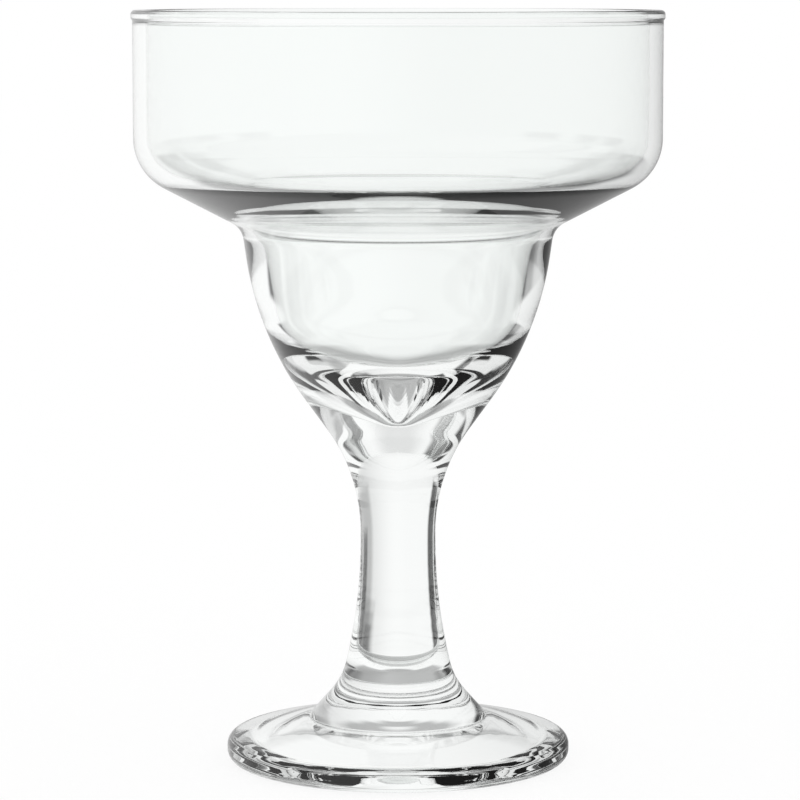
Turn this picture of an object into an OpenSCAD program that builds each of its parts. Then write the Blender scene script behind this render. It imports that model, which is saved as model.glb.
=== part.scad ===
// Margarita glass: a blown bowl, a drawn stem and a pressed foot of clear glass, joined hot, face to face.
// Lengths are in millimetres and angles in degrees. +Z is up, and the origin is the middle of the resting face.

/* [Lip] */
// Diameter over the lip, the widest place of the glass
rim_d = 101; // [94:0.5:110]
// Height of the fire-polished bead along the lip
lip_h = 1.6; // [1.2:0.1:2.2]
// Thickness of the bead
lip_t = 3.1; // [3:0.1:3.6]
// How far the bead stands out past the outside of the wall
lip_proud = 0.3; // [0.1:0.05:0.4]

/* [Upper cup] */
// Height from the top of the lip down to where the wall and the shoulder would cross
cup_h = 30.5; // [24:0.5:38]
// Thickness of the upright wall
cup_wall = 2.6; // [2:0.1:2.7]
// Angle by which the shoulder falls below level
shoulder_fall = 27.5; // [22:0.5:32]
// Angle by which the inside of the shoulder falls below level
shoulder_inside_fall = 24; // [22.6:0.2:26.4]
// Thickness of the shoulder at its outer end
shoulder_wall = 2.2; // [1.8:0.1:3]
// Outside radius of the turn from wall to shoulder
shoulder_r = 10.5; // [6:0.5:12]
// Inside radius of the same turn
corner_r = 8; // [4:0.5:10]

/* [Lower cup] */
// Outside diameter where the shoulder and the lower wall would cross
throat_d = 59.5; // [54:0.5:64]
// Outside radius of the hollow turn under the shoulder
throat_r = 4.6; // [2:0.2:6]
// Inside radius of the same turn
throat_inside_r = 8; // [2:0.5:10]
// Thickness of the lower wall at the throat
throat_wall = 2.7; // [2.4:0.1:3.4]
// Height from the throat down to the lowest place of the cup's floor
lower_h = 34.1; // [32:0.1:38]
// Angle by which the outside of the lower wall leans in
lower_lean = 8.2; // [6:0.2:11]
// Angle by which the inside of the lower wall leans in
inside_lean = 14.2; // [12:0.2:17]
// Radius of the turn from the inside wall to the floor
floor_r = 16.5; // [10:0.5:20]
// Angle by which the floor rises from its middle
floor_rise = 29.5; // [24:0.5:36]
// Radius of the rounded middle of the floor
floor_tip_r = 4.6; // [2:0.2:8]

/* [Solid base of the bowl] */
// Thickness of solid glass from the joint with the stem up to the floor
base_h = 13.4; // [11:0.1:16]
// Angle by which the outside of the base leans in
base_lean = 36; // [33:0.2:40]
// Radius of the belly, where the lower wall turns into the base
belly_r = 61; // [40:1:70]

/* [Stem] */
// Height of the stem, from its seat on the foot to its joint with the bowl
stem_h = 47.2; // [40:0.2:60]
// Diameter at the waist of the stem
waist_d = 14.4; // [12:0.2:18]
// Radius of the turn from the waist up into the bowl
neck_r = 34; // [20:1:40]
// Height above the seat at which the flare would leave the waist
flare_h = 24; // [20:0.5:27]
// Angle by which the flare leans out
flare_lean = 12; // [9:0.5:14]
// Radius of the turn from the waist into the flare
flare_r = 100; // [60:5:120]
// Angle by which the trumpet at the lower end leans out
trumpet_lean = 42; // [36:1:50]
// Radius of the turn from the flare into the trumpet
trumpet_r = 14; // [8:1:20]
// Diameter of the trumpet where it sits on the foot
seat_d = 35; // [30:0.5:40]
// Radius of the melted edge along the seat
seam_r = 0.3; // [0.1:0.05:0.5]

/* [Foot] */
// Diameter over the edge of the foot
foot_d = 66; // [58:0.5:76]
// Height of the seat for the stem above the resting face
foot_h = 8.1; // [6.5:0.1:10]
// Height of the foot at its edge
foot_edge_h = 4.6; // [3.6:0.1:5.6]
// Radius of the rounded edge
foot_edge_r = 2.1; // [1.2:0.1:2.4]
// Width of the flat ring that the glass rests on
ring_w = 3.9; // [2:0.1:6]
// Depth of the hollow underside in the middle
hollow_h = 4.6; // [2:0.1:5.4]

/* [Hidden] */
$fn = 128;
glass_tint = [0.86, 0.91, 0.89, 0.5];
// Largest distance between a curved outline and its straight steps
outline_tolerance = 0.01;
// Rounding of the bead, so that its edges are melted fully round
lip_round = lip_h / 2;
// Steps of the hollow underside from the ring to the middle
hollow_steps = 12;

rim_radius = rim_d / 2;
cup_radius = rim_radius - lip_proud;
cup_inside = cup_radius - cup_wall;
lip_inside = rim_radius - lip_t;
throat_radius = throat_d / 2;
waist_radius = waist_d / 2;
seat_radius = seat_d / 2;
foot_radius = foot_d / 2;
ring_radius = foot_radius - foot_edge_r - ring_w;

seat_z = foot_h;
flare_z = seat_z + flare_h;
joint_z = seat_z + stem_h;
floor_z = joint_z + base_h;
throat_z = floor_z + lower_h;
shoulder_z = throat_z + (cup_radius - throat_radius) * tan(shoulder_fall);
glass_h = shoulder_z + cup_h;
lip_z = glass_h - lip_h;

// Places in the outline: distance from the axis and height
seat = [seat_radius, seat_z];
flare = [waist_radius, flare_z];
neck = [waist_radius, joint_z];
joint_middle = [0, joint_z];
throat = [throat_radius, throat_z];
shoulder = [cup_radius, shoulder_z];
floor_middle = [0, floor_z];
floor_edge = [floor_tip_r * tan(floor_rise / 2), floor_z];
shoulder_inside = shoulder + shoulder_wall * lean(-shoulder_fall);
shoulder_inside_way = lean(90 - shoulder_inside_fall);
throat_inside = throat - [throat_wall, 0];

// Corners where two straight stretches of the outline would cross
trumpet = meet(seat, lean(-trumpet_lean), flare, lean(-flare_lean));
belly = meet(neck, lean(base_lean), throat, lean(lower_lean));
cup_corner = meet([cup_inside, shoulder_z], lean(0), shoulder_inside, shoulder_inside_way);
throat_corner = meet(throat_inside, lean(inside_lean), shoulder_inside, shoulder_inside_way);
floor_corner = meet(throat_inside, lean(inside_lean), floor_edge, lean(90 - floor_rise));

// Outline from the seat up the outside, over the lip and down to the floor, each corner with its radius
glass_outline = rounded([
    corner([0, seat_z], 0),
    corner(seat, seam_r),
    corner(trumpet, trumpet_r),
    corner(flare, flare_r),
    corner(neck, neck_r),
    corner(belly, belly_r),
    corner(throat, throat_r),
    corner(shoulder, shoulder_r),
    corner([cup_radius, lip_z - lip_proud], lip_round),
    corner([rim_radius, lip_z], lip_round),
    corner([rim_radius, glass_h], lip_round),
    corner([lip_inside, glass_h], lip_round),
    corner([lip_inside, lip_z], lip_round),
    corner([cup_inside, lip_z - (cup_inside - lip_inside)], lip_round),
    corner(cup_corner, corner_r),
    corner(throat_corner, throat_inside_r),
    corner(floor_corner, floor_r),
    corner(floor_edge, floor_tip_r),
    corner(floor_middle, 0)
]);

// Unit step that leans outward from upright by an angle
function lean(angle) = [sin(angle), cos(angle)];

// Where the line from p along d crosses the line from q along e
function meet(p, d, q, e) = p + d * cross(q - p, e) / cross(d, e);

// A point with the radius of the arc that rounds it
function corner(point, radius) = [point[0], point[1], radius];

// The point of a corner without its radius
function spot(corner) = [corner[0], corner[1]];

// Unit step from one point to another
function step(from, to) = (to - from) / norm(to - from);

// Angle by which the outline turns at corner i, zero at both ends
function turn(corners, i) =
    i == 0 || i == len(corners) - 1
        ? 0
        : let (
            arriving = step(spot(corners[i - 1]), spot(corners[i])),
            leaving = step(spot(corners[i]), spot(corners[i + 1]))
        ) atan2(cross(arriving, leaving), arriving * leaving);

// Length that the arc at corner i takes from the straight stretches beside it
function reach(corners, i) = corners[i][2] * tan(abs(turn(corners, i)) / 2);

// Share of their length that the arcs at both ends of stretch i can have, so that they never overlap
function room_share(corners, i) =
    let (
        taken = reach(corners, i) + reach(corners, i + 1),
        length = norm(spot(corners[i + 1]) - spot(corners[i]))
    ) taken > length ? length / taken : 1;

// Corner points with every corner turned into a tangent arc
function rounded(corners) = [
    for (i = [0 : len(corners) - 1]) each
        reach(corners, i) == 0 ? [spot(corners[i])] : arc(corners, i)
];

// Points of the arc that rounds corner i
function arc(corners, i) =
    let (
        share = min(room_share(corners, i - 1), room_share(corners, i)),
        radius = corners[i][2] * share,
        angle = turn(corners, i),
        arriving = step(spot(corners[i - 1]), spot(corners[i])),
        start = spot(corners[i]) - arriving * reach(corners, i) * share,
        side = sign(angle),
        centre = start + side * radius * [-arriving[1], arriving[0]],
        steps = ceil(abs(angle) / (2 * acos(1 - min(outline_tolerance / radius, 1))))
    ) [for (k = [0 : steps]) centre + turned(start - centre, angle * k / steps)];

// A vector turned by an angle
function turned(v, angle) = [
    v[0] * cos(angle) - v[1] * sin(angle),
    v[0] * sin(angle) + v[1] * cos(angle)
];

// Point of a stretch at a given height
function at_height(from, to, z) = from + (to - from) * (z - from[1]) / (to[1] - from[1]);

// The part of an outline above a height (side 1) or below it (side -1), cut exactly there
function cut(outline, z, side) = [
    for (i = [0 : len(outline) - 1])
        let (
            here = outline[i],
            next = outline[min(i + 1, len(outline) - 1)],
            inside = side * (here[1] - z) > 0,
            next_inside = side * (next[1] - z) > 0
        ) each [
            if (inside) here,
            if (inside != next_inside) at_height(here, next, z)
        ]
];

module turned_glass(outline) {
    color(glass_tint)
        rotate_extrude()
            polygon(outline);
}

// Blown bowl: upper cup, shoulder, lower cup and the solid base down to the joint with the stem
module bowl() {
    turned_glass(concat([joint_middle], cut(glass_outline, joint_z, 1)));
}

// Drawn stem: solid, waisted, with a trumpet that sits on the foot
module stem() {
    turned_glass(concat(cut(glass_outline, joint_z, -1), [joint_middle]));
}

// Pressed foot: coned top with a flat seat, rounded edge, resting ring and a hollow underside
module foot() {
    dome_r = (ring_radius ^ 2 + hollow_h ^ 2) / (2 * hollow_h);
    top = rounded([
        corner([0, seat_z], 0),
        corner(seat, 0),
        corner([foot_radius, foot_edge_h], foot_edge_r),
        corner([foot_radius, 0], foot_edge_r),
        corner([ring_radius, 0], 0)
    ]);
    hollow = [
        for (k = [1 : hollow_steps])
            let (r = ring_radius * (1 - k / hollow_steps))
            [r, hollow_h - dome_r + sqrt(dome_r ^ 2 - r ^ 2)]
    ];
    turned_glass(concat(top, hollow));
}

bowl();
stem();
foot();
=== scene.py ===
"""Clear margarita glass: bowl, stem and foot of soda-lime glass, joined hot, on a white studio table.

Each piece is turned from the outline of its solid in the frame, smoothed between the solid's steps.
Lengths are in metres and angles in degrees, unless a name says otherwise.
"""
import math

import bpy
import numpy as np
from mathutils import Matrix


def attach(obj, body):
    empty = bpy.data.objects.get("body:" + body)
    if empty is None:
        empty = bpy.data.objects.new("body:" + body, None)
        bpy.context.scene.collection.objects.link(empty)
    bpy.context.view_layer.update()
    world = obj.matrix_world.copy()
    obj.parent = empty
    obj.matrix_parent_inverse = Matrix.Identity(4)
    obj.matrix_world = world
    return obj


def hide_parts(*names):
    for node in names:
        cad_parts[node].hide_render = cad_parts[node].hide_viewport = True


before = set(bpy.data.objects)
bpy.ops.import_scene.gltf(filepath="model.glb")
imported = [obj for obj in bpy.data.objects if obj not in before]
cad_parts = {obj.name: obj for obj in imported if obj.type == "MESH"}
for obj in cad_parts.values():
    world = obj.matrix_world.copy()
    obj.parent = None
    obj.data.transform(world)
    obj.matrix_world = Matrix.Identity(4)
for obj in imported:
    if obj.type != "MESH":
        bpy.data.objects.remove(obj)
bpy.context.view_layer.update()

MM = 0.001
WHITE = (1, 1, 1, 1)

# Turning
SIDES = 256
RING_STEP = 0.9 * MM
SAME_RING = 3e-6
SHARP_CORNER = 40
ON_AXIS = 1e-6

# Glass
REFRACTIVE_INDEX = 1.52
GLASS_TINT = (0.975, 0.99, 0.982, 1)
WAVE_LENGTH = 5 * MM
WAVE_STRETCH = 4
WAVE_HEIGHT = 0.004 * MM
HAZE_SPREAD = 30 * MM
HAZE_ROUGHNESS = 0.02
NOISE_DETAIL = 1

# Camera
CAMERA_PLACE = (0.38 * MM, -680 * MM, 148.95 * MM)
CAMERA_FALL = 6.6535
CAMERA_LENS = 160.77
CAMERA_CLIP = 10 * MM

# Faces that light can meet before it ends black
LIGHT_BOUNCES = 7

# Dark cards round the glass, by direction: azimuth of the middle from +Y towards +X, half width,
# lowest and highest elevation, softness of the edges, and tone from black 0 to white 1
CARDS = {
    "left_flag": (-52, 10, -40, 20, 3, 0.05),
    "far_left_flag": (-75, 8, -40, 20, 3, 0.02),
    "back_left_flag": (-106, 10, -2, 22, 3, 0.02),
    "right_wall": (60, 35, -70, 40, 30, 0.64),
    "right_screen": (57, 24, -45, 15, 4, 0.65),
    "right_flag": (52, 7, -40, -8, 3, 0.1),
    "far_right_flag": (75, 8, -45, 14, 3, 0.03),
    "back_right_flag": (106, 9, -2, 20, 3, 0.1),
    "low_right_flag": (37, 8, -48, -22, 5, 0.25),
    "high_left_screen": (-78, 18, 24, 62, 4, 0.2),
    "ceiling": (0, 180, 74, 100, 8, 0.8),
}

# Further cards, for light that met more faces than the two of the solid stem
STEM_FACES = 2
DEEP_CARDS = {
    "high_screen": (0, 40, 17, 28, 3, 0.5),
    # The three cards below the horizon are painted shadow: dark patches that stand in for the glass's
    # shadow on the table, as seen through the glass
    "painted_shadow_low": (0, 60, -50, -34, 4, 0.45),
    "painted_shadow_below": (0, 112, -100, -46, 6, 0.5),
    "painted_shadow_below_back": (180, 68, -100, -73, 4, 0.45),
}

# White gap in the first cards, for the same light: lowest and highest elevation, and softness
HORIZON = (-14, 4, 2)

# Share of the light that is lost at each face past the four of a hollow cup
CUP_FACES = 4
FACE_LOSS = 0.05

# Mirrored light is white from the left, and has this tone from the right
MIRROR_SHADE = 0.25
MIRROR_SOFTNESS = 0.5

# Table. The glow is the share of its white that is its own light
TABLE_SIDE = 8.0
TABLE_GAP = 0.2 * MM
TABLE_GLOW = 0.85


def ring_outline(node):
    """Radius and height of each ring of a turned solid, in order along its outline from the lower end."""
    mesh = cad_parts[node].data
    places = np.array([(math.hypot(v.co.x, v.co.y), v.co.z) for v in mesh.vertices])
    rings = []
    ring_of = np.full(len(places), -1)
    while (ring_of < 0).any():
        place = places[np.argmax(ring_of < 0)]
        ring_of[np.abs(places - place).max(axis=1) < SAME_RING] = len(rings)
        rings.append(place)
    beside = [set() for _ in rings]
    for edge in mesh.edges:
        a, b = (ring_of[i] for i in edge.vertices)
        if a != b:
            beside[a].add(b)
            beside[b].add(a)
    ends = [i for i, near in enumerate(beside) if len(near) == 1]
    order = [min(ends, key=lambda i: rings[i][1])]
    while len(order) < len(rings):
        order += beside[order[-1]] - set(order)
    return np.array([rings[i] for i in order])


def smoothed(outline):
    """Curve through the rings, level at the axis. Tangents are weighted by length, and corners kept."""
    steps = np.diff(outline, axis=0)
    lengths = np.hypot(*steps.T)
    ways = steps / lengths[:, None]
    arriving = np.vstack([ways[:1], ways])
    leaving = np.vstack([ways, ways[-1:]])
    weights = np.concatenate([lengths[:1], lengths, lengths[-1:]])
    for i in range(len(outline)):
        if outline[i][0] < ON_AXIS:
            arriving[i] = leaving[i] = np.sign(leaving[i] * (1, 0))
        elif arriving[i] @ leaving[i] > math.cos(math.radians(SHARP_CORNER)):
            mean = arriving[i] * weights[i] + leaving[i] * weights[i + 1]
            arriving[i] = leaving[i] = mean / np.hypot(*mean)
    curve = [outline[0]]
    for i, length in enumerate(lengths):
        count = max(2, math.ceil(length / RING_STEP))
        for t in np.arange(1, count + 1) / count:
            curve.append(
                outline[i] * (2 * t**3 - 3 * t**2 + 1)
                + leaving[i] * length * (t**3 - 2 * t**2 + t)
                + outline[i + 1] * (3 * t**2 - 2 * t**3)
                + arriving[i + 1] * length * (t**3 - t**2)
            )
    return np.array(curve)


def turned(name, outline, materials, joint_levels):
    """Closed turned mesh. The level faces that reach the axis at a joint get the second material."""
    angles = 2 * math.pi * np.arange(SIDES) / SIDES
    points = []
    rings = []
    for radius, height in outline:
        if radius < ON_AXIS:
            rings.append([len(points)] * SIDES)
            points.append((0, 0, height))
        else:
            rings.append(range(len(points), len(points) + SIDES))
            points += [(radius * math.cos(a), radius * math.sin(a), height) for a in angles]
    faces = []
    slots = []
    for i, (low, high) in enumerate(zip(rings, rings[1:])):
        (r, z), (next_r, next_z) = outline[i:i + 2]
        fused = min(r, next_r) < ON_AXIS and z == next_z and z in joint_levels
        for k in range(SIDES):
            n = (k + 1) % SIDES
            corners = (low[k], low[n], high[n], high[k])
            faces.append(tuple(dict.fromkeys(corners)))
            slots.append(int(fused))
    mesh = bpy.data.meshes.new(name)
    mesh.from_pydata(points, [], faces)
    for material in materials:
        mesh.materials.append(material)
    mesh.polygons.foreach_set("material_index", slots)
    mesh.shade_smooth()
    mesh.set_sharp_from_angle(angle=math.radians(SHARP_CORNER))
    piece = bpy.data.objects.new(name, mesh)
    bpy.context.scene.collection.objects.link(piece)
    return piece


def clear_glass():
    """Clear glass with the faint level waves and the trace of haze that hot working leaves."""
    material = bpy.data.materials.new("clear_glass")
    material.use_nodes = True
    tree = material.node_tree
    shader = tree.nodes["Principled BSDF"]
    shader.inputs["Base Color"].default_value = GLASS_TINT
    shader.inputs["IOR"].default_value = REFRACTIVE_INDEX
    shader.inputs["Transmission Weight"].default_value = 1
    place = tree.nodes.new("ShaderNodeTexCoord").outputs["Object"]

    waves = noise(tree, stretched(tree, place, WAVE_STRETCH), 1 / WAVE_LENGTH)
    bump = tree.nodes.new("ShaderNodeBump")
    bump.inputs["Distance"].default_value = WAVE_HEIGHT
    tree.links.new(waves, bump.inputs["Height"])
    tree.links.new(bump.outputs[0], shader.inputs["Normal"])

    haze = tree.nodes.new("ShaderNodeMapRange")
    haze.inputs["To Max"].default_value = HAZE_ROUGHNESS
    tree.links.new(noise(tree, place, 1 / HAZE_SPREAD), haze.inputs["Value"])
    tree.links.new(haze.outputs[0], shader.inputs["Roughness"])
    return material


def stretched(tree, place, stretch):
    """A place with its distances along X and Y divided by a stretch."""
    mapping = tree.nodes.new("ShaderNodeMapping")
    mapping.inputs["Scale"].default_value = (1 / stretch, 1 / stretch, 1)
    tree.links.new(place, mapping.inputs["Vector"])
    return mapping.outputs[0]


def noise(tree, place, scale):
    """Soft random height at each place."""
    texture = tree.nodes.new("ShaderNodeTexNoise")
    texture.inputs["Scale"].default_value = scale
    texture.inputs["Detail"].default_value = NOISE_DETAIL
    tree.links.new(place, texture.inputs["Vector"])
    return texture.outputs[0]


def fused_joint():
    """Inside of a hot joint, where glass meets glass and light goes straight on."""
    material = bpy.data.materials.new("fused_joint")
    material.use_nodes = True
    tree = material.node_tree
    tree.nodes.remove(tree.nodes["Principled BSDF"])
    clear = tree.nodes.new("ShaderNodeBsdfTransparent")
    tree.links.new(clear.outputs[0], tree.nodes["Material Output"].inputs["Surface"])
    return material


def number(tree, operation, *values):
    """Result of a math node. Each value is a number or another node's output."""
    node = tree.nodes.new("ShaderNodeMath")
    node.operation = operation
    for socket, value in zip(node.inputs, values):
        if isinstance(value, bpy.types.NodeSocket):
            tree.links.new(value, socket)
        else:
            socket.default_value = value
    return node.outputs[0]


def blended(tree, share, first, second):
    """Number between two others. The share of the second runs from 0 to 1."""
    change = number(tree, "MULTIPLY", share, number(tree, "SUBTRACT", second, first))
    return number(tree, "ADD", first, change)


def rising(tree, value, edge, softness):
    """0 below an edge and 1 above it, with a soft step between."""
    step = tree.nodes.new("ShaderNodeMapRange")
    step.interpolation_type = "SMOOTHSTEP"
    step.inputs["From Min"].default_value = edge - softness
    step.inputs["From Max"].default_value = edge + softness
    tree.links.new(value, step.inputs["Value"])
    return step.outputs[0]


def seen_in_glass(tree):
    """1 for the camera's rays that the glass mirrored or bent, and 0 for all others."""
    path = tree.nodes.new("ShaderNodeLightPath")
    sent_on = number(tree, "MAXIMUM", path.outputs["Is Glossy Ray"], path.outputs["Is Transmission Ray"])
    return number(tree, "MULTIPLY", sent_on, number(tree, "LESS_THAN", path.outputs["Diffuse Depth"], 1))


def mixed(tree, share, first, second):
    """Blend of two shaders. The share of the second is a number or another node's output."""
    mix = tree.nodes.new("ShaderNodeMixShader")
    if isinstance(share, bpy.types.NodeSocket):
        tree.links.new(share, mix.inputs["Fac"])
    else:
        mix.inputs["Fac"].default_value = share
    tree.links.new(first.outputs[0], mix.inputs[1])
    tree.links.new(second.outputs[0], mix.inputs[2])
    return mix


def white_table():
    """Bright white with a faint shadow. The glass looks through it at the studio."""
    material = bpy.data.materials.new("white_table")
    material.use_nodes = True
    tree = material.node_tree
    tree.nodes.remove(tree.nodes["Principled BSDF"])
    white = tree.nodes.new("ShaderNodeBsdfDiffuse")
    white.inputs["Color"].default_value = WHITE
    glow = tree.nodes.new("ShaderNodeEmission")
    clear = tree.nodes.new("ShaderNodeBsdfTransparent")
    table = mixed(tree, seen_in_glass(tree), mixed(tree, TABLE_GLOW, white, glow), clear)
    tree.links.new(table.outputs[0], tree.nodes["Material Output"].inputs["Surface"])
    return material


def build_table():
    half = TABLE_SIDE / 2
    corners = [(-half, -half, 0), (half, -half, 0), (half, half, 0), (-half, half, 0)]
    mesh = bpy.data.meshes.new("table")
    mesh.from_pydata(corners, [], [(0, 1, 2, 3)])
    mesh.materials.append(white_table())
    table = bpy.data.objects.new("table", mesh)
    table.location.z = -TABLE_GAP
    bpy.context.scene.collection.objects.link(table)


def carded(tree, azimuth, elevation, cards):
    """Tone of the white studio with a set of cards, by direction."""
    light = 1.0
    for middle, half_width, lowest, highest, softness, tone in cards.values():
        apart = number(tree, "SUBTRACT", azimuth, middle)
        aside = number(tree, "ABSOLUTE", number(tree, "WRAP", apart, 180, -180))
        beside = rising(tree, aside, half_width, softness)
        above = rising(tree, elevation, highest, softness)
        outside = number(tree, "MAXIMUM", beside, above)
        inside = number(tree, "SUBTRACT", rising(tree, elevation, lowest, softness), outside)
        cover = number(tree, "MAXIMUM", inside, 0)
        light = number(tree, "MULTIPLY", light, blended(tree, cover, 1, tone))
    return light


def bent_light(tree, azimuth, elevation):
    """Tone of the studio for light that the glass bends, by direction and by the faces it met."""
    plain = carded(tree, azimuth, elevation, CARDS)
    lowest, highest, softness = HORIZON
    above = rising(tree, elevation, highest, softness)
    gap = number(tree, "SUBTRACT", rising(tree, elevation, lowest, softness), above)
    opened = number(tree, "MAXIMUM", plain, gap)
    deep = number(tree, "MULTIPLY", opened, carded(tree, azimuth, elevation, DEEP_CARDS))

    # The studio lies one step past the last face
    steps = tree.nodes.new("ShaderNodeLightPath").outputs["Ray Depth"]
    faces_met = number(tree, "SUBTRACT", steps, 1)
    tone = blended(tree, number(tree, "GREATER_THAN", faces_met, STEM_FACES), plain, deep)
    further = number(tree, "MAXIMUM", number(tree, "SUBTRACT", faces_met, CUP_FACES), 0)
    return number(tree, "MULTIPLY", tone, number(tree, "POWER", 1 - FACE_LOSS, further))


def build_studio():
    """White all round. In the glass it shows dark cards, which draw the edges of clear glass, and dark
    patches below the horizon, which are a painted shadow of the glass on the table.
    """
    world = bpy.data.worlds.new("studio")
    bpy.context.scene.world = world
    world.use_nodes = True
    tree = world.node_tree
    place = tree.nodes.new("ShaderNodeTexCoord")
    split = tree.nodes.new("ShaderNodeSeparateXYZ")
    tree.links.new(place.outputs["Generated"], split.inputs[0])
    x, y, z = split.outputs
    azimuth = number(tree, "DEGREES", number(tree, "ARCTAN2", x, y))
    elevation = number(tree, "DEGREES", number(tree, "ARCSINE", z))
    mirrored = blended(tree, rising(tree, x, 0, MIRROR_SOFTNESS), 1, MIRROR_SHADE)
    is_bent = tree.nodes.new("ShaderNodeLightPath").outputs["Is Transmission Ray"]
    in_glass = blended(tree, is_bent, mirrored, bent_light(tree, azimuth, elevation))
    shown = blended(tree, seen_in_glass(tree), 1, in_glass)
    tree.links.new(shown, tree.nodes["Background"].inputs["Strength"])
    tree.nodes["Background"].inputs["Color"].default_value = WHITE


def build_camera():
    lens = bpy.data.cameras.new("camera")
    lens.lens = CAMERA_LENS
    lens.clip_start = CAMERA_CLIP
    camera = bpy.data.objects.new("camera", lens)
    camera.location = CAMERA_PLACE
    camera.rotation_euler = (math.radians(90 - CAMERA_FALL), 0, 0)
    bpy.context.scene.collection.objects.link(camera)
    bpy.context.scene.camera = camera


def build_glass():
    """Bowl, stem and foot, each a closed piece. The outside runs smoothly from stem to bowl."""
    foot, stem, bowl = (ring_outline(node) for node in ("foot", "stem", "bowl"))
    seat, joint = stem[0], stem[-1]
    upright = smoothed(np.vstack([stem, bowl[1:]]))
    cut = np.argmin(np.abs(upright - joint).sum(axis=1))
    seat_middle = (0, seat[1])
    joint_middle = (0, joint[1])
    outlines = {
        "foot": np.vstack([smoothed(foot), seat, seat_middle]),
        "stem": np.vstack([seat_middle, upright[:cut + 1], joint_middle]),
        "bowl": np.vstack([joint_middle, upright[cut:]]),
    }
    joint_levels = (seat[1], joint[1])
    materials = (clear_glass(), fused_joint())
    for node, outline in outlines.items():
        piece = turned("glass_" + node, outline, materials, joint_levels)
        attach(piece, "root")
        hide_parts(node)


build_studio()
build_table()
build_camera()
build_glass()

scene = bpy.context.scene
scene.view_settings.view_transform = "Standard"
scene.cycles.max_bounces = LIGHT_BOUNCES
scene.cycles.transmission_bounces = LIGHT_BOUNCES
scene.cycles.glossy_bounces = LIGHT_BOUNCES
scene.cycles.transparent_max_bounces = LIGHT_BOUNCES
